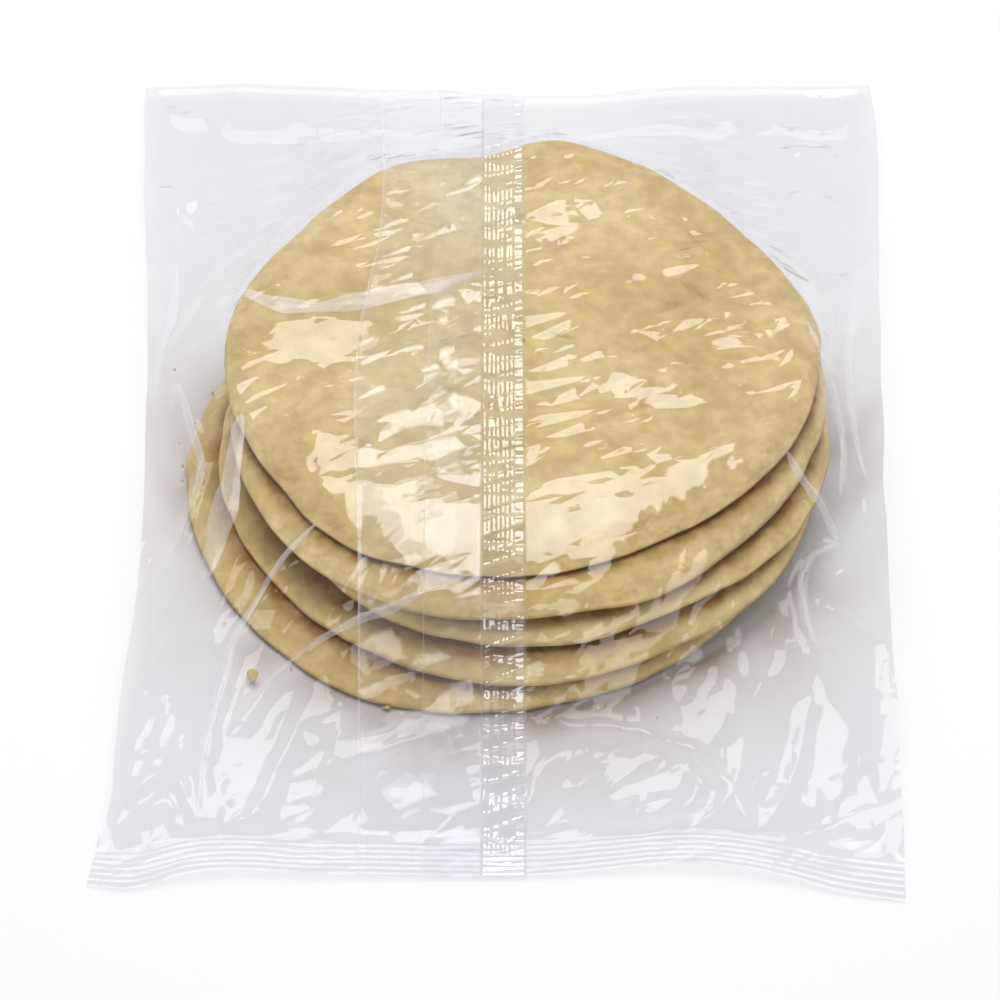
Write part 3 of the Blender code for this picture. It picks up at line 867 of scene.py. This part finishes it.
def bump_node(tree, height, distance, strength, normal=None):
    """A normal bent by a height."""
    bump = tree.nodes.new("ShaderNodeBump")
    bump.inputs["Distance"].default_value = distance
    if isinstance(strength, bpy.types.NodeSocket):
        tree.links.new(strength, bump.inputs["Strength"])
    else:
        bump.inputs["Strength"].default_value = strength
    tree.links.new(height, bump.inputs["Height"])
    if normal is not None:
        tree.links.new(normal, bump.inputs["Normal"])
    return bump.outputs["Normal"]


def crumple_node(tree, where):
    """Height of a finely crumpled film: the plane is mirrored about evenly spaced lines, again and
    again, and its place across the third and the last of them is the height."""
    rng = np.random.default_rng(161)
    cosine, sine = np.cos(FACET_HEADING), np.sin(FACET_HEADING)
    turn = np.array([[cosine, sine], [-sine, cosine]])
    narrow = turn / np.array([[FACET_SIZE * FACET_STRETCH], [FACET_SIZE]])
    widen = np.linalg.inv(narrow)
    place, heights = where, []
    for number, spacing in enumerate(FACET_SPACINGS):
        angle = rng.uniform(0, np.pi)
        normal = np.array([np.cos(angle), np.sin(angle)])
        across = math_node(tree, "ADD", vector_node(tree, "DOT_PRODUCT", place, (*(normal @ narrow), 0)),
                           rng.uniform(0, 2))
        mirrored = math_node(tree, "PINGPONG", across, spacing)
        if number in (LARGER_FACET_FOLD, len(FACET_SPACINGS) - 1):
            heights.append(mirrored)
        step = math_node(tree, "SUBTRACT", mirrored, across)
        place = vector_node(tree, "MULTIPLY_ADD", step, (*(widen @ normal), 0), place)
    coarse, fine = (math_node(tree, "MULTIPLY", height, FACET_SIZE * slope)
                    for height, slope in zip(heights, FACET_SLOPES))
    return math_node(tree, "ADD", coarse, fine)


def film_material(name, clearness, haze, gloss, mirror, crumpled=False, with_painted_shadow=False):
    """Clear film: seen straight on it lets nearly all light through, it mirrors more at a slant,
    and haze makes several layers milky. Small flat facets break up its reflections, which are
    softer where it lies on the bread, and its seals are a little dimmer. Lamps and scattered light
    pass through it as through a plain pale filter."""
    material, tree, output, where = nodes_of(name)
    clear = tree.nodes.new("ShaderNodeBsdfTransparent")
    tint = (clearness, clearness, clearness + 0.010, 1)
    clear.inputs["Color"].default_value = tint
    # Painted shadow: the tint turns a darker warm brown where the stack shades the film
    if with_painted_shadow:
        share = math_node(tree, "MULTIPLY", attribute_node(tree, "painted_shadow"), 0.85)
        tree.links.new(mix_node(tree, share, tint, (0.40, 0.29, 0.22, 1)), clear.inputs["Color"])
    hazed = clear
    if haze:
        milk = tree.nodes.new("ShaderNodeBsdfDiffuse")
        milk.inputs["Color"].default_value = (0.90, 0.90, 0.93, 1)
        clouds = noise_node(tree, where, 28.0, 2.0, 0.5)
        cloudy = math_node(tree, "MULTIPLY", clouds, 2 * haze)
        if crumpled:
            sealed = attribute_node(tree, "sealed")
            cloudy = math_node(tree, "MULTIPLY_ADD", sealed, 0.055, cloudy)
            dimmed = (clearness - 0.040, clearness - 0.040, clearness - 0.028, 1)
            tree.links.new(mix_node(tree, sealed, tint, dimmed), clear.inputs["Color"])
        hazed = mix_shader(tree, cloudy, clear, milk)
    shine = tree.nodes.new("ShaderNodeBsdfGlossy")
    shine.inputs["Color"].default_value = (1, 1, 1, 1)
    shine.inputs["Roughness"].default_value = gloss
    weight = tree.nodes.new("ShaderNodeLayerWeight")
    weight.inputs["Blend"].default_value = 0.5
    if crumpled:
        patches = ramp_node(tree, noise_node(tree, where, 42.0, 2.0, 0.6), [(0.44, 0.15), (0.55, 1.0)])
        strength = math_node(tree, "MULTIPLY", patches, attribute_node(tree, "pressed"))
        strength = math_node(tree, "MULTIPLY", strength, attribute_node(tree, "taut"))
        normal = bump_node(tree, crumple_node(tree, where), 1.0, strength)
        tree.links.new(normal, shine.inputs["Normal"])
        tree.links.new(normal, weight.inputs["Normal"])
    slant = math_node(tree, "POWER", weight.outputs["Facing"], 5.0)
    if crumpled:
        held = attribute_node(tree, "pressed")
        straight = math_node(tree, "MULTIPLY_ADD", held, 1.55 * mirror, -0.55 * mirror)
        straight = math_node(tree, "MULTIPLY", straight, attribute_node(tree, "outside_seam"))
        softer = math_node(tree, "MULTIPLY_ADD", held, 0.10, gloss - 0.10)
        tree.links.new(math_node(tree, "MAXIMUM", softer, 0.02), shine.inputs["Roughness"])
    else:
        straight = mirror
    share = math_node(tree, "MULTIPLY_ADD", slant, 0.80, straight)
    surface = mix_shader(tree, share, hazed, shine)
    filtered = tree.nodes.new("ShaderNodeBsdfTransparent")
    passed = clearness - mirror / 2
    filtered.inputs["Color"].default_value = (passed, passed, passed + 0.010, 1)
    rays = tree.nodes.new("ShaderNodeLightPath")
    unseen = math_node(tree, "MAXIMUM", rays.outputs["Is Shadow Ray"], rays.outputs["Is Diffuse Ray"])
    seen = mix_shader(tree, unseen, surface, filtered)
    tree.links.new(seen.outputs[0], output.inputs["Surface"])
    return material


def bread_material():
    """Pale dough: cream and tan mottling, small toasted specks, pores and a dry, soft skin, with painted
    shade between the breads and in their dents and creases, and painted light on steep faces.
    """
    material, tree, output, where = nodes_of("bread")
    broad = ramp_node(tree, noise_node(tree, where, 22.0, 3.0, 0.55),
                      [(0.30, (0.505, 0.360, 0.128)), (0.52, (0.575, 0.425, 0.178)),
                       (0.72, (0.645, 0.498, 0.252))])
    mottle = ramp_node(tree, noise_node(tree, where, 150.0, 2.0, 0.6), [(0.35, 0.85), (0.65, 1.08)])
    colour = mix_node(tree, 1.0, broad, mottle, "MULTIPLY")
    specks = ramp_node(tree, noise_node(tree, where, 620.0, 2.0, 0.5), [(0.66, 0.0), (0.74, 1.0)])
    colour = mix_node(tree, math_node(tree, "MULTIPLY", specks, 0.35), colour, (0.36, 0.22, 0.07, 1))
    smudges = ramp_node(tree, noise_node(tree, where, 85.0, 3.0, 0.65), [(0.53, 0.0), (0.66, 1.0)])
    colour = mix_node(tree, math_node(tree, "MULTIPLY", smudges, 0.65), colour, (0.475, 0.335, 0.100, 1))
    # Painted light: faces that turn away from straight up are lightened by about a third, for light that
    # reaches the rims too weakly
    faces = tree.nodes.new("ShaderNodeTexCoord")
    upright = tree.nodes.new("ShaderNodeSeparateXYZ")
    tree.links.new(faces.outputs["Normal"], upright.inputs[0])
    rim = ramp_node(tree, upright.outputs["Z"], [(0.35, 1.0), (0.90, 0.0)])
    colour = mix_node(tree, rim, colour, mix_node(tree, 1.0, colour, (1.34, 1.36, 1.40, 1), "MULTIPLY"))
    # Painted shade: darker tan in the top bread's dents and creases
    painted_crease_shade = math_node(tree, "MULTIPLY", attribute_node(tree, "painted_crease_shade"), 0.60)
    colour = mix_node(tree, painted_crease_shade, colour, (0.43, 0.29, 0.075, 1))
    # Painted shade: a dark brown, mottled by noise, between the breads and under their rims
    gap_shade_mottle = ramp_node(tree, noise_node(tree, where, 130.0, 2.0, 0.6), [(0.40, 0.70), (0.62, 1.30)])
    gap_shade_share = math_node(tree, "MULTIPLY", attribute_node(tree, "painted_gap_shade"), gap_shade_mottle)
    colour = mix_node(tree, gap_shade_share, colour, (0.27, 0.138, 0.016, 1))
    skin = tree.nodes.new("ShaderNodeBsdfPrincipled")
    tree.links.new(colour, skin.inputs["Base Color"])
    roughness = ramp_node(tree, noise_node(tree, where, 90.0), [(0.3, 0.62), (0.7, 0.80)])
    tree.links.new(roughness, skin.inputs["Roughness"])
    skin.inputs["Specular IOR Level"].default_value = 0.30
    pores = bump_node(tree, noise_node(tree, where, 800.0, 1.0, 0.6), 0.0004, 0.35)
    lumps = bump_node(tree, noise_node(tree, where, 90.0, 3.0, 0.6), 0.0045, 0.5, pores)
    tree.links.new(lumps, skin.inputs["Normal"])
    tree.links.new(skin.outputs[0], output.inputs["Surface"])
    return material


def floor_material():
    """Plain pale matt paint."""
    material, tree, output, _ = nodes_of("floor")
    paint = tree.nodes.new("ShaderNodeBsdfDiffuse")
    paint.inputs["Color"].default_value = (0.80, 0.80, 0.80, 1)
    tree.links.new(paint.outputs[0], output.inputs["Surface"])
    return material


# Stage
def add_floor():
    """A wide flat floor, which is no part of the object."""
    half = 4.0
    corners = [(-half, -half, 0), (half, -half, 0), (half, half, 0), (-half, half, 0)]
    mesh = bpy.data.meshes.new("floor")
    mesh.from_pydata(corners, [], [(0, 1, 2, 3)])
    mesh.materials.append(floor_material())
    floor = bpy.data.objects.new("floor", mesh)
    bpy.context.scene.collection.objects.link(floor)


def add_softbox(name, place, target, width, length, radiance):
    """A rectangular light with the given radiance, facing its target."""
    light = bpy.data.lights.new(name, "AREA")
    light.shape = "RECTANGLE"
    light.size, light.size_y = width, length
    light.energy = radiance * np.pi * width * length
    lamp = bpy.data.objects.new(name, light)
    towards = (Vector(target) - Vector(place)).to_track_quat("-Z", "Y")
    lamp.matrix_world = Matrix.Translation(place) @ towards.to_matrix().to_4x4()
    bpy.context.scene.collection.objects.link(lamp)


def add_light():
    """One broad softbox overhead, in a dim room with a bright back wall and a pale low board in front."""
    add_softbox("overhead_softbox", (0.0, 0.08, 0.95), (0.0, 0.081, 0.0), 0.80, 0.80, 4.68)
    world = bpy.data.worlds.new("studio")
    world.use_nodes = True
    tree = world.node_tree
    direction = tree.nodes.new("ShaderNodeTexCoord")
    parts = tree.nodes.new("ShaderNodeSeparateXYZ")
    tree.links.new(direction.outputs["Generated"], parts.inputs[0])
    depth = math_node(tree, "ADD", math_node(tree, "MULTIPLY", parts.outputs["Y"], 0.5), 0.5)
    behind = ramp_node(tree, depth, [(0.0, (1.30, 1.28, 1.24)), (0.10, (1.15, 1.13, 1.10)),
                                     (0.19, (0.07, 0.07, 0.07)), (0.40, (0.10, 0.10, 0.11)),
                                     (0.55, (0.42, 0.425, 0.44)), (0.84, (0.80, 0.805, 0.83))])
    tree.links.new(behind, tree.nodes["Background"].inputs["Color"])
    bpy.context.scene.world = world


def add_camera():
    """A long lens from the near side, level across."""
    camera = bpy.data.cameras.new("camera")
    camera.sensor_width = SENSOR_MM
    camera.lens = LENS_MM
    viewer = bpy.data.objects.new("camera", camera)
    viewer.location = CAMERA_PLACE
    viewer.rotation_euler = (CAMERA_TILT, 0, 0)
    bpy.context.scene.collection.objects.link(viewer)
    bpy.context.scene.camera = viewer


def main():
    scene = bpy.context.scene
    scene.view_settings.view_transform = "Standard"
    scene.cycles.transparent_max_bounces = 20
    scene.cycles.max_bounces = 4
    scene.cycles.diffuse_bounces = 2
    scene.cycles.glossy_bounces = 2
    bread = bread_material()
    film = film_material("film", clearness=0.954, haze=0.006, gloss=0.075, mirror=0.058,
                         crumpled=True)
    plain_film = film_material("plain_film", clearness=0.951, haze=0.0, gloss=0.0, mirror=0.018,
                               with_painted_shadow=True)
    wide_margin = film_material("wide_margin_film", clearness=0.992, haze=0.042, gloss=0.05,
                                mirror=0.030, crumpled=True)
    narrow_margin = film_material("narrow_margin_film", clearness=0.994, haze=0.014, gloss=0.05,
                                  mirror=0.018, crumpled=True)
    seam_film = film_material("seam_film", clearness=0.985, haze=0.060, gloss=0.04, mirror=0.100)
    doubled_film = film_material("doubled_film", clearness=0.960, haze=0.19, gloss=0.22, mirror=0.030)
    for level in range(len(CENTRES)):
        build_bread(level, bread)
    upper_points, lower_points, film_upper = build_films(film, plain_film)
    build_seam(upper_points, wide_margin, narrow_margin, seam_film)
    build_pleats(upper_points, doubled_film)
    build_crumbs(upper_points, lower_points, bread)
    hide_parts("clear_bag")
    add_floor()
    add_light()
    add_camera()


main()
